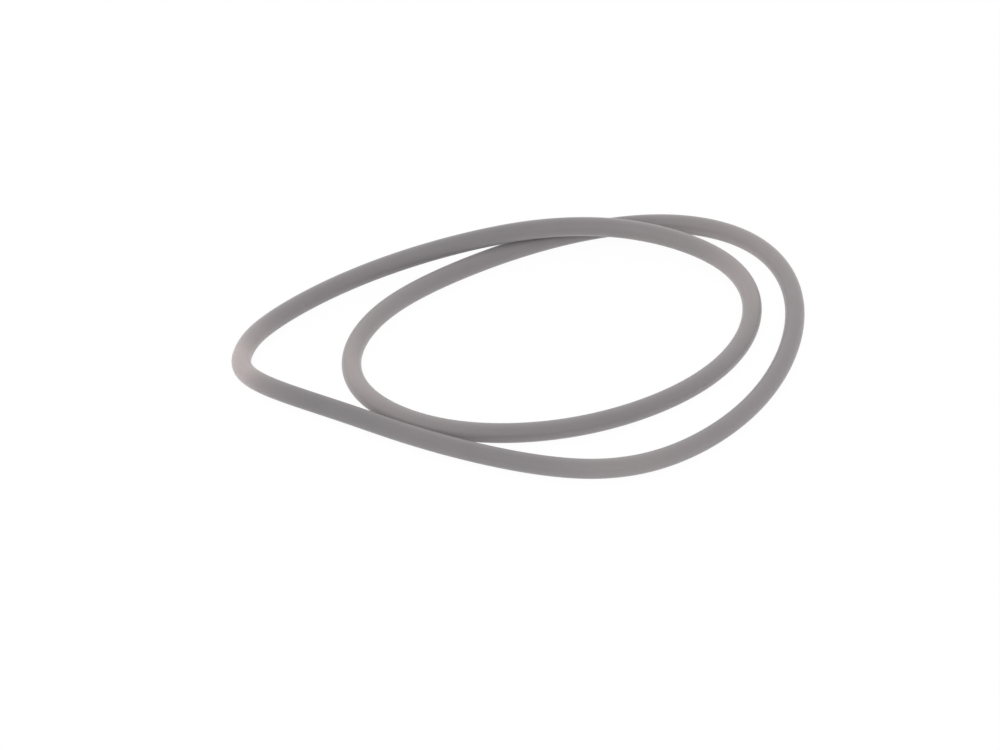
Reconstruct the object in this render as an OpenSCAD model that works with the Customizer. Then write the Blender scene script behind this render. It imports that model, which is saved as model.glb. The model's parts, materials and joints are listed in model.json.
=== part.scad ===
// A rubber sealing ring of round section, as it comes to rest on a flat surface.
// The ring is wider than the place it takes, so it lies doubled in two turns: a wide
// outer turn, bent short at its left end, and a smaller inner turn. The turns cross once
// at the back, where one strand rises over the other, and touch side by side at the front.
// Millimetres, +Z up. The origin is on the surface, under the middle of the ring's box.

/* [Ring] */
// Inside diameter of the ring when it lies free in one circle
ring_id = 142.47; // [120:0.01:170]
// Thickness of the round section
section_d = 3.53; // [2.6:0.01:5.4]

/* [Lie] */
// Least clearance between strands that lie on or beside each other
touch_gap = 0.05; // [0.02:0.01:0.2]
// Length that rises on each side of the crossing, in strand thicknesses
rise_spans = 21; // [18:1:26]

/* [Hidden] */

// Faces around the section, and steps of the axis for each pull point
SECTION_FACES = 20;
AXIS_STEPS = 9;
// Most by which the drawn axis may miss the ring's own length
LENGTH_FIT = 0.01;

// The axis is a closed cubic B-spline. Each row is a point that pulls it, seen from above:
// x, y, and the share of a strand's width by which the point is moved in to its own left.
// The inner turn is so given as if its strand had no width, lying on the outer turn's axis.
OUTER_TURN = [
    [-50.5, -7, 0],
    [-46, -12, 0],
    [-30.5, -19, 0],
    [-16, -27, 0],
    [13, -36.5, 0],
    [32, -28.5, 0],
    [46, -12, 0],
    [52, 10, 0],
    [46.5, 28, 0]
];
UNDER_STRAND = [
    [30, 35.5, 0],
    [7, 31, 0],
    [-18, 18.5, 0.5],
    [-31, 8, 1]
];
INNER_TURN = [
    [-35.5, -7, 1],
    [-29, -20.5, 1],
    [-12, -29, 1],
    [12.5, -27.5, 1],
    [36, -15, 1],
    [48, 4.5, 1]
];
OVER_STRAND = [
    [44, 25.5, 1],
    [19.5, 33, 0.5],
    [-6, 26, 0],
    [-25, 19.5, 0]
];
BENT_END = [
    [-38.5, 11.5, 0],
    [-47, 3.5, 0],
    [-49.5, -1.5, 0]
];
LIE = concat(OUTER_TURN, UNDER_STRAND, INNER_TURN, OVER_STRAND, BENT_END);

// Pull points at which the strands that cross begin
UNDER_START = len(OUTER_TURN);
OVER_START = UNDER_START + len(UNDER_STRAND) + len(INNER_TURN);

// Length of the ring along the axis of its section
ring_length = PI * (ring_id + section_d);
// Distance between the axes of two strands that touch
strand_pitch = section_d + touch_gap;
// Length over which the upper strand comes down to the surface, each side of the crossing
rise_run = rise_spans * section_d;

function plan(p) = [p.x, p.y];

// Steps from the pull point before point i to it, and from it to the next
function step_to(i) = plan(LIE[i]) - plan(LIE[(i + len(LIE) - 1) % len(LIE)]);
function step_from(i) = step_to((i + 1) % len(LIE));

// Unit vector to the left of the axis at pull point i, which is the inner side of a turn
function inward(i) =
    let (run = step_to(i) + step_from(i))
    [-run.y, run.x] / norm(run);

// Share of a point's move that reaches the spline, which cuts the corner there
function kept_share(i) =
    (2 + step_to(i) * step_from(i) / (norm(step_to(i)) * norm(step_from(i)))) / 3;

function pull_points(lie_scale) =
    [for (i = [0:len(LIE) - 1])
        lie_scale * plan(LIE[i]) + LIE[i].z * strand_pitch / kept_share(i) * inward(i)];

// Point of a uniform cubic B-spline with pull points a, b, c and e, at u from 0 to 1
function spline_point(a, b, c, e, u) =
    (pow(1 - u, 3) * a
        + (3 * pow(u, 3) - 6 * pow(u, 2) + 4) * b
        + (-3 * pow(u, 3) + 3 * pow(u, 2) + 3 * u + 1) * c
        + pow(u, 3) * e) / 6;

// The axis seen from above, as one closed round of points
function plan_axis(lie_scale) =
    let (p = pull_points(lie_scale), count = len(p))
    [for (i = [0:count - 1], step = [0:AXIS_STEPS - 1])
        spline_point(
            p[(i + count - 1) % count], p[i], p[(i + 1) % count], p[(i + 2) % count],
            step / AXIS_STEPS
        )];

// Running length at each point of a closed path, and its whole length as a last entry
function running_length(path) =
    let (count = len(path))
    [for (i = 0, run = 0; i <= count;
        run = run + norm(path[(i + 1) % count] - path[i % count]), i = i + 1) run];

// Steps of the axis that a run of pull points takes
function steps_of(start, points) =
    [for (i = [start * AXIS_STEPS:(start + len(points)) * AXIS_STEPS - 1]) i];

// Step of the upper strand that passes nearest to the lower strand
function crossing_step(path) =
    let (
        under = steps_of(UNDER_START, UNDER_STRAND),
        over = steps_of(OVER_START, OVER_STRAND),
        gaps = [for (i = over) min([for (k = under) norm(path[i] - path[k])])]
    )
    over[search(min(gaps), gaps)[0]];

// Height share of a heavy springy strand held up at one point: t is 0 where it leaves the
// surface and 1 at the top, where it runs level
function rise(t) = 4 * pow(t, 3) - 3 * pow(t, 4);

// The axis in space: half a thickness above the surface, and a strand higher at the crossing
function ring_axis(lie_scale) =
    let (
        flat = plan_axis(lie_scale),
        run = running_length(flat),
        whole = run[len(flat)],
        top = run[crossing_step(flat)]
    )
    [for (i = [0:len(flat) - 1])
        let (
            away = abs(run[i] - top),
            nearer = min(away, whole - away),
            height = strand_pitch * rise(max(0, 1 - nearer / rise_run))
        )
        [flat[i].x, flat[i].y, section_d / 2 + height]];

// Scale of the lie at which the axis is as long as the ring, found by correcting a first one
function fitted_scale(lie_scale) =
    let (path = ring_axis(lie_scale), whole = running_length(path)[len(path)])
    abs(whole - ring_length) < LENGTH_FIT ? lie_scale :
    fitted_scale(lie_scale * ring_length / whole);

function middle(values) = (min(values) + max(values)) / 2;

// The same path with the middle of its plan at the origin
function centred(path) =
    let (mid = [middle([for (p = path) p.x]), middle([for (p = path) p.y]), 0])
    [for (p = path) p - mid];

// Section points around each point of the path, upright across the way it runs
function section_points(path) =
    let (count = len(path))
    [for (i = [0:count - 1])
        let (
            chord = path[(i + 1) % count] - path[(i + count - 1) % count],
            ahead = chord / norm(chord),
            side = [ahead.y, -ahead.x, 0] / norm([ahead.x, ahead.y]),
            upward = cross(side, ahead)
        )
        for (face = [0:SECTION_FACES - 1])
            let (turn = 360 * face / SECTION_FACES)
            path[i] + section_d / 2 * (cos(turn) * side + sin(turn) * upward)];

// Two triangles between neighbouring sections for each face around them
function section_faces(count) =
    [for (i = [0:count - 1], face = [0:SECTION_FACES - 1])
        let (
            here = i * SECTION_FACES,
            next = ((i + 1) % count) * SECTION_FACES,
            beside = (face + 1) % SECTION_FACES
        )
        each [
            [here + face, next + beside, next + face],
            [here + face, here + beside, next + beside]
        ]];

module o_ring() {
    path = centred(ring_axis(fitted_scale(1)));
    color("#8b8688")
        polyhedron(section_points(path), section_faces(len(path)), convexity = 8);
}

o_ring();
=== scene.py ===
"""A rubber o-ring that lies doubled in two turns on a white table.

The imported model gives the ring's place and size. The strand is swept again here along the same
route, finely enough to look round, and gets its moulded rubber. A table, soft daylight and a
camera stand round it. All in metres, +Z up.
"""

import json

import bpy
import numpy as np
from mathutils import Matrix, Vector


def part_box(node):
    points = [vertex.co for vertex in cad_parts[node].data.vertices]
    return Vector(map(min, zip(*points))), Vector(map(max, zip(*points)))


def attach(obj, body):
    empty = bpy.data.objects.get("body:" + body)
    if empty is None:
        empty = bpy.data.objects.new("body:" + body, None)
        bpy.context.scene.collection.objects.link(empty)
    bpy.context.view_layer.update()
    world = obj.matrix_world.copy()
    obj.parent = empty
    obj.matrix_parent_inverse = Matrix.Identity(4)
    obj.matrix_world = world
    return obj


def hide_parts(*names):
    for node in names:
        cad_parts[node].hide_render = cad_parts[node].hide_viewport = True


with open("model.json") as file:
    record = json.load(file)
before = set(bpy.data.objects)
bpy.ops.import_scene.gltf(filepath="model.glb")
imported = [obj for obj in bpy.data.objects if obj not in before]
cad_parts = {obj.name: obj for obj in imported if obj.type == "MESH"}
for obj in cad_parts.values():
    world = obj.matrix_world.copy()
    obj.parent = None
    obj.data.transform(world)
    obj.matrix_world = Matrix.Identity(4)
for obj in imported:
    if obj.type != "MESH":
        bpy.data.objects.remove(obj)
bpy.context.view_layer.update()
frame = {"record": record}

# Sizes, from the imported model
MM = 0.001
NODE = "o_ring"
LOW, HIGH = (np.array(corner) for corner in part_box(NODE))
# The ring's seat lies in the plane of its axis, half a strand above the table
STRAND_R = frame["record"]["mounts"][0]["pos_m"][2]
# At the crossing one strand lies on another, with the gap of strands that touch between them
STRAND_PITCH = HIGH[2] - LOW[2] - 2 * STRAND_R
# The upper strand comes down to the table over this length, each side of the crossing. The
# number is the length in strand thicknesses, as the solid has it.
RISE_SPANS = 21
RISE_RUN = RISE_SPANS * 2 * STRAND_R

# The ring's route: points that pull a closed cubic B-spline, seen from above. Each row holds
# x and y in millimetres, and the share of a strand's width by which the point is moved in to
# its own left.
OUTER_TURN = [
    (-50.5, -7, 0), (-46, -12, 0), (-30.5, -19, 0), (-16, -27, 0), (13, -36.5, 0),
    (32, -28.5, 0), (46, -12, 0), (52, 10, 0), (46.5, 28, 0),
]
UNDER_STRAND = [(30, 35.5, 0), (7, 31, 0), (-18, 18.5, 0.5), (-31, 8, 1)]
INNER_TURN = [
    (-35.5, -7, 1), (-29, -20.5, 1), (-12, -29, 1), (12.5, -27.5, 1), (36, -15, 1), (48, 4.5, 1),
]
OVER_STRAND = [(44, 25.5, 1), (19.5, 33, 0.5), (-6, 26, 0), (-25, 19.5, 0)]
BENT_END = [(-38.5, 11.5, 0), (-47, 3.5, 0), (-49.5, -1.5, 0)]
LIE = np.array(OUTER_TURN + UNDER_STRAND + INNER_TURN + OVER_STRAND + BENT_END, float)
UNDER_START = len(OUTER_TURN)
OVER_START = UNDER_START + len(UNDER_STRAND) + len(INNER_TURN)

# Fineness of the swept strand: steps along the route for each pull point, and faces around
# the section
AXIS_STEPS = 60
SECTION_FACES = 48
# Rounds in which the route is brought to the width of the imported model
SCALE_ROUNDS = 8

# Length over which a bend is taken, and the bend, as a share of stretch, at which the painted
# light on the rubber is strongest
BEND_SPAN = 4 * STRAND_R
PAINTED_LIGHT_FULL_BEND = 0.2

# Rubber: the two greys that its cloudiness runs between, the paler grey painted where the strand
# bends tightly as painted light, the length of a cloud and of a grain of the skin, and the grain's
# depth and strength. A cloud's roughness lies between the two ends of SATIN.
RUBBER_DARK = "#8a8688"
RUBBER_LIGHT = "#938f91"
RUBBER_PAINTED_LIGHT = "#beb5b4"
CLOUD_SIZE = 4 * MM
GRAIN_SIZE = 0.35 * MM
GRAIN_DEPTH = 0.01 * MM
GRAIN_STRENGTH = 0.25
SATIN = (0.28, 0.38)
SILICONE_IOR = 1.43

WHITE = "#ffffff"
LAMINATE_WHITE = "#f8f8f8"

# The photograph's view: how far the camera looks down, the focal length and the width of the
# sensor in millimetres, how far it is from the point on the table that it looks at, that
# point, and the nearest and the farthest that it shows
CAMERA_DOWN = np.radians(41.5)
CAMERA_LENS = 150.6
SENSOR_WIDTH = 36.0
CAMERA_REACH = 749.4 * MM
CAMERA_AIM = Vector((-3.61 * MM, -6.93 * MM, 0))
CAMERA_CLIP = (0.01, 20.0)

TABLE_SIDE = 3.0
# Share of the table's look that is plain white. The rest is the light that falls on it, which
# holds the trace of a shadow.
TABLE_WHITENED = 0.95

# Daylight from above, which grows from nothing at SKY_FROM to its whole at SKY_FULL (heights
# of a direction of length 1), and the light that the table gives off by being lit from
# farther away
SKY_LIGHT = 0.985
SKY_FROM = 0.2
SKY_FULL = 0.8
TABLE_GLOW = 0.2
# Soft boxes: the direction that each stands in, its distance and side in metres, and its power
# in watts. The window is at the left, behind the bent end. The fill light comes from where the
# camera is.
SOFT_BOXES = {
    "window": ((-1.0, 0.7, 0.45), 0.35, 0.3, 0.28),
    "fill": ((0.0, -1.0, 0.885), 1.2, 1.0, 4.5),
}


def pull_points(scale):
    """The route's points on the plan: each at its place, times scale, and moved to its left by
    its share of a strand's pitch. The spline cuts a corner that turns by a to (2 + cos a) / 3
    of a move, so the move is made that much longer."""
    place = LIE[:, :2] * MM
    step_to = place - np.roll(place, 1, axis=0)
    step_from = np.roll(place, -1, axis=0) - place
    run = step_to + step_from
    inward = np.stack([-run[:, 1], run[:, 0]], axis=1) / np.linalg.norm(run, axis=1, keepdims=True)
    turn = np.sum(step_to * step_from, axis=1)
    turn /= np.linalg.norm(step_to, axis=1) * np.linalg.norm(step_from, axis=1)
    move = LIE[:, 2] * STRAND_PITCH / ((2 + turn) / 3)
    return scale * place + move[:, None] * inward


def closed_spline(points):
    """Uniform cubic B-spline of a closed round of pull points, AXIS_STEPS places for each of
    them: four neighbouring points, weighed by the blending polynomials of u from 0 to 1, which
    are (1 - u)^3, 3 u^3 - 6 u^2 + 4, -3 u^3 + 3 u^2 + 3 u + 1 and u^3, each over 6."""
    u = np.linspace(0, 1, AXIS_STEPS, endpoint=False)
    weights = np.stack(
        [(1 - u) ** 3, 3 * u**3 - 6 * u**2 + 4, -3 * u**3 + 3 * u**2 + 3 * u + 1, u**3], axis=1
    ) / 6
    neighbours = np.stack([np.roll(points, 1 - k, axis=0) for k in range(4)], axis=1)
    return np.einsum("sk,nkd->nsd", weights, neighbours).reshape(-1, points.shape[1])


def ring_axis(scale):
    """The axis in space: the spline on the plan, half a strand above the table. Over RISE_RUN
    each side of the crossing the height grows by a strand's pitch times 4 t^3 - 3 t^4, with t
    from 0 on the table to 1 at the crossing, as a heavy springy strand does that is held up at
    one point."""
    plan = closed_spline(pull_points(scale))
    step = np.linalg.norm(np.roll(plan, -1, axis=0) - plan, axis=1)
    run = np.cumsum(step) - step
    under = np.arange(len(UNDER_STRAND) * AXIS_STEPS) + UNDER_START * AXIS_STEPS
    over = np.arange(len(OVER_STRAND) * AXIS_STEPS) + OVER_START * AXIS_STEPS
    gaps = np.linalg.norm(plan[over][:, None] - plan[under][None], axis=2).min(axis=1)
    away = np.abs(run - run[over[gaps.argmin()]])
    t = np.clip(1 - np.minimum(away, step.sum() - away) / RISE_RUN, 0, 1)
    height = STRAND_R + STRAND_PITCH * (4 * t**3 - 3 * t**4)
    return np.column_stack([plan, height])


def fitted_axis():
    """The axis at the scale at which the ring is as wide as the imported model, its middle over
    the model's."""
    scale = 1.0
    for _ in range(SCALE_ROUNDS):
        scale *= (HIGH[0] - LOW[0] - 2 * STRAND_R) / np.ptp(ring_axis(scale)[:, 0])
    axis = ring_axis(scale)
    axis[:, :2] += (LOW + HIGH)[:2] / 2 - (axis.min(axis=0) + axis.max(axis=0))[:2] / 2
    return axis


def bend_of(axis):
    """How tightly the strand is bent at each point of its axis: its radius times the angle that
    the axis turns through over BEND_SPAN round the point, over that length. It is the share by
    which the rubber is stretched on the outer side of the bend."""
    step_from = np.roll(axis, -1, axis=0) - axis
    length = np.linalg.norm(step_from, axis=1)
    ahead = step_from / length[:, None]
    turned = np.cumsum(np.linalg.norm(ahead - np.roll(ahead, 1, axis=0), axis=1))
    run = np.cumsum(length) - length
    # The round before and the round after, so that a span may reach over the start of the axis
    runs = np.concatenate([run - length.sum(), run, run + length.sum()])
    turns = np.concatenate([turned - turned[-1], turned, turned + turned[-1]])
    half = BEND_SPAN / 2
    turn = np.interp(run + half, runs, turns) - np.interp(run - half, runs, turns)
    return STRAND_R * turn / BEND_SPAN


def swept_circle(axis, radius, faces):
    """Grid of points on a tube: at each point of the closed axis a circle stands square across
    its run, at radius times (cos a side + sin a upward), with a from 0 to a whole turn, side
    level to the right of the run and upward at a right angle to it."""
    ahead = np.roll(axis, -1, axis=0) - np.roll(axis, 1, axis=0)
    ahead /= np.linalg.norm(ahead, axis=1, keepdims=True)
    side = np.column_stack([ahead[:, 1], -ahead[:, 0], np.zeros(len(axis))])
    side /= np.linalg.norm(side, axis=1, keepdims=True)
    upward = np.cross(side, ahead)
    turn = np.linspace(0, 2 * np.pi, faces, endpoint=False)[None, :, None]
    spoke = np.cos(turn) * side[:, None] + np.sin(turn) * upward[:, None]
    return axis[:, None] + radius * spoke


def mesh_piece(name, points, faces):
    """A smooth mesh object at the origin, with its place in its points."""
    mesh = bpy.data.meshes.new(name)
    mesh.from_pydata(points.tolist(), [], faces.tolist())
    mesh.shade_smooth()
    piece = bpy.data.objects.new(name, mesh)
    bpy.context.scene.collection.objects.link(piece)
    return piece


def closed_tube(name, grid):
    """A mesh of four-sided faces between neighbouring points of a grid that is closed both
    ways."""
    rings, around = grid.shape[:2]
    index = np.arange(rings * around).reshape(rings, around)
    next_ring = np.roll(index, -1, axis=0)
    corners = (index, next_ring, np.roll(next_ring, -1, axis=1), np.roll(index, -1, axis=1))
    return mesh_piece(name, grid.reshape(-1, 3), np.stack(corners, axis=-1).reshape(-1, 4))


def keep_values(piece, name, values):
    """Stores one number for each point of a piece's mesh, for its material to read."""
    store = piece.data.attributes.new(name, "FLOAT", "POINT")
    store.data.foreach_set("value", np.ascontiguousarray(values, np.float32))


def linear(colour):
    """An sRGB hex colour as linear red, green, blue and alpha."""
    srgb = np.array([int(colour[i:i + 2], 16) for i in (1, 3, 5)]) / 255
    rgb = np.where(srgb <= 0.04045, srgb / 12.92, ((srgb + 0.055) / 1.055) ** 2.4)
    return (*rgb.tolist(), 1.0)


def add(tree, kind, values=None, links=None, **options):
    """Adds a shader node: options are its own settings, values stand on its sockets, and links
    come into them."""
    node = tree.nodes.new("ShaderNode" + kind)
    for name, value in options.items():
        setattr(node, name, value)
    for socket, value in (values or {}).items():
        node.inputs[socket].default_value = value
    for socket, source in (links or {}).items():
        tree.links.new(source, node.inputs[socket])
    return node


def new_material(name):
    """An empty node material and its tree."""
    material = bpy.data.materials.new(name)
    material.use_nodes = True
    material.node_tree.nodes.clear()
    return material, material.node_tree


def seen_rays(tree):
    """1 for rays that show the background itself, straight, in gloss or through glass, and 0
    for lighting rays."""
    path = add(tree, "LightPath").outputs
    glossy = add(tree, "Math", links={0: path["Is Camera Ray"], 1: path["Is Glossy Ray"]},
                 operation="MAXIMUM")
    seen = add(tree, "Math", links={0: glossy.outputs[0], 1: path["Is Transmission Ray"]},
               operation="MAXIMUM")
    return seen.outputs[0]


def silicone_rubber():
    """Filled silicone rubber, compression moulded: a warm mid grey with a dry, satin skin,
    which scatters light so widely that the strand looks nearly flat, and whose edges turn pale
    where they mirror the table. Tight bends are painted paler, as painted light."""
    material, tree = new_material("moulded silicone rubber")
    place = add(tree, "TexCoord").outputs["Object"]
    # Cloudy grey: the filler is not quite evenly mixed
    cloud = add(tree, "TexNoise", {"Scale": 1 / CLOUD_SIZE, "Detail": 3.0, "Roughness": 0.5},
                {"Vector": place})
    grey = add(tree, "Mix", {"A": linear(RUBBER_DARK), "B": linear(RUBBER_LIGHT)},
               {"Factor": cloud.outputs["Fac"]}, data_type="RGBA")
    # Painted light: the colour turns paler where the strand bends tightly, a painted brightening
    # of the tight left end
    bend = add(tree, "Attribute", attribute_name="bend")
    painted_light_share = add(tree, "MapRange", {"From Max": PAINTED_LIGHT_FULL_BEND}, {"Value": bend.outputs["Fac"]})
    colour = add(tree, "Mix", {"B": linear(RUBBER_PAINTED_LIGHT)},
                 {"Factor": painted_light_share.outputs["Result"], "A": grey.outputs["Result"]},
                 data_type="RGBA")
    # Skin of the mould: shallow grain, drawn large enough to show
    grain = add(tree, "TexNoise", {"Scale": 1 / GRAIN_SIZE, "Detail": 2.0, "Roughness": 0.5},
                {"Vector": place})
    bump = add(tree, "Bump", {"Strength": GRAIN_STRENGTH, "Distance": GRAIN_DEPTH},
               {"Height": grain.outputs["Fac"]})
    gloss = add(tree, "MapRange", {"To Min": SATIN[0], "To Max": SATIN[1]},
                {"Value": cloud.outputs["Fac"]})
    shader = add(tree, "BsdfPrincipled", {"IOR": SILICONE_IOR, "Diffuse Roughness": 1.0},
                 {"Base Color": colour.outputs["Result"], "Roughness": gloss.outputs["Result"],
                  "Normal": bump.outputs["Normal"]})
    add(tree, "OutputMaterial", links={"Surface": shader.outputs["BSDF"]})
    return material


def white_table():
    """White laminate, lit so brightly that it shows as plain white, with only a trace of the
    ring's shadow. On the ring it throws light from below."""
    material, tree = new_material("white laminate")
    laminate = add(tree, "BsdfDiffuse", {"Color": linear(LAMINATE_WHITE)})
    white = add(tree, "Emission", {"Color": linear(WHITE), "Strength": 1.0})
    glow = add(tree, "Emission", {"Color": linear(WHITE), "Strength": TABLE_GLOW})
    lit = add(tree, "AddShader", links={0: laminate.outputs[0], 1: glow.outputs[0]})
    share = add(tree, "Math", {1: TABLE_WHITENED}, {0: seen_rays(tree)}, operation="MULTIPLY")
    table = add(tree, "MixShader",
                links={0: share.outputs[0], 1: lit.outputs[0], 2: white.outputs[0]})
    add(tree, "OutputMaterial", links={"Surface": table.outputs[0]})
    return material


def light_room():
    """Background: plain white where it is seen, and on the object a soft light that is strongest
    from above."""
    world = bpy.data.worlds.new("room")
    world.use_nodes = True
    tree = world.node_tree
    tree.nodes.clear()
    direction = add(tree, "SeparateXYZ", links={0: add(tree, "TexCoord").outputs["Generated"]})
    level = add(tree, "MapRange",
                {"From Min": SKY_FROM, "From Max": SKY_FULL, "To Max": SKY_LIGHT},
                {"Value": direction.outputs["Z"]})
    sky = add(tree, "Background", {"Color": linear(WHITE)}, {"Strength": level.outputs["Result"]})
    white = add(tree, "Background", {"Color": linear(WHITE), "Strength": 1.0})
    mixed = add(tree, "MixShader",
                links={0: seen_rays(tree), 1: sky.outputs[0], 2: white.outputs[0]})
    add(tree, "OutputWorld", links={"Surface": mixed.outputs[0]})
    bpy.context.scene.world = world


def soft_box(name, direction, reach, side, power):
    """A square lamp that looks at the ring from a direction. It isn't mirrored in the ring: its
    image would draw a pale line along the open strands, which the photograph doesn't have."""
    data = bpy.data.lights.new(name, "AREA")
    data.shape, data.size, data.energy = "SQUARE", side, power
    lamp = bpy.data.objects.new(name, data)
    lamp.visible_glossy = False
    lamp.location = Vector(direction).normalized() * reach
    lamp.rotation_euler = (-lamp.location).to_track_quat("-Z", "Y").to_euler()
    bpy.context.scene.collection.objects.link(lamp)


def set_camera():
    """The camera stands in front of the ring and looks down at it, as in the photograph."""
    data = bpy.data.cameras.new("camera")
    data.lens, data.sensor_width = CAMERA_LENS, SENSOR_WIDTH
    data.clip_start, data.clip_end = CAMERA_CLIP
    camera = bpy.data.objects.new("camera", data)
    back = Vector((0, -np.cos(CAMERA_DOWN), np.sin(CAMERA_DOWN)))
    camera.location = CAMERA_AIM + CAMERA_REACH * back
    camera.rotation_euler = (-back).to_track_quat("-Z", "Y").to_euler()
    bpy.context.scene.collection.objects.link(camera)
    bpy.context.scene.camera = camera


def lay_table():
    """A flat table under the ring, which isn't part of it."""
    half = TABLE_SIDE / 2
    corners = np.array([(-half, -half, 0), (half, -half, 0), (half, half, 0), (-half, half, 0)])
    table = mesh_piece("table", corners, np.array([[0, 1, 2, 3]]))
    table.data.materials.append(white_table())


set_camera()
axis = fitted_axis()
ring = closed_tube("o_ring_strand", swept_circle(axis, STRAND_R, SECTION_FACES))
# The bend sets the painted light that makes tight bends paler
keep_values(ring, "bend", np.repeat(bend_of(axis), SECTION_FACES))
ring.data.materials.append(silicone_rubber())
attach(ring, "root")
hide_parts(NODE)

lay_table()
light_room()
for box_name, box_values in SOFT_BOXES.items():
    soft_box(box_name, *box_values)
bpy.context.scene.view_settings.view_transform = "Standard"
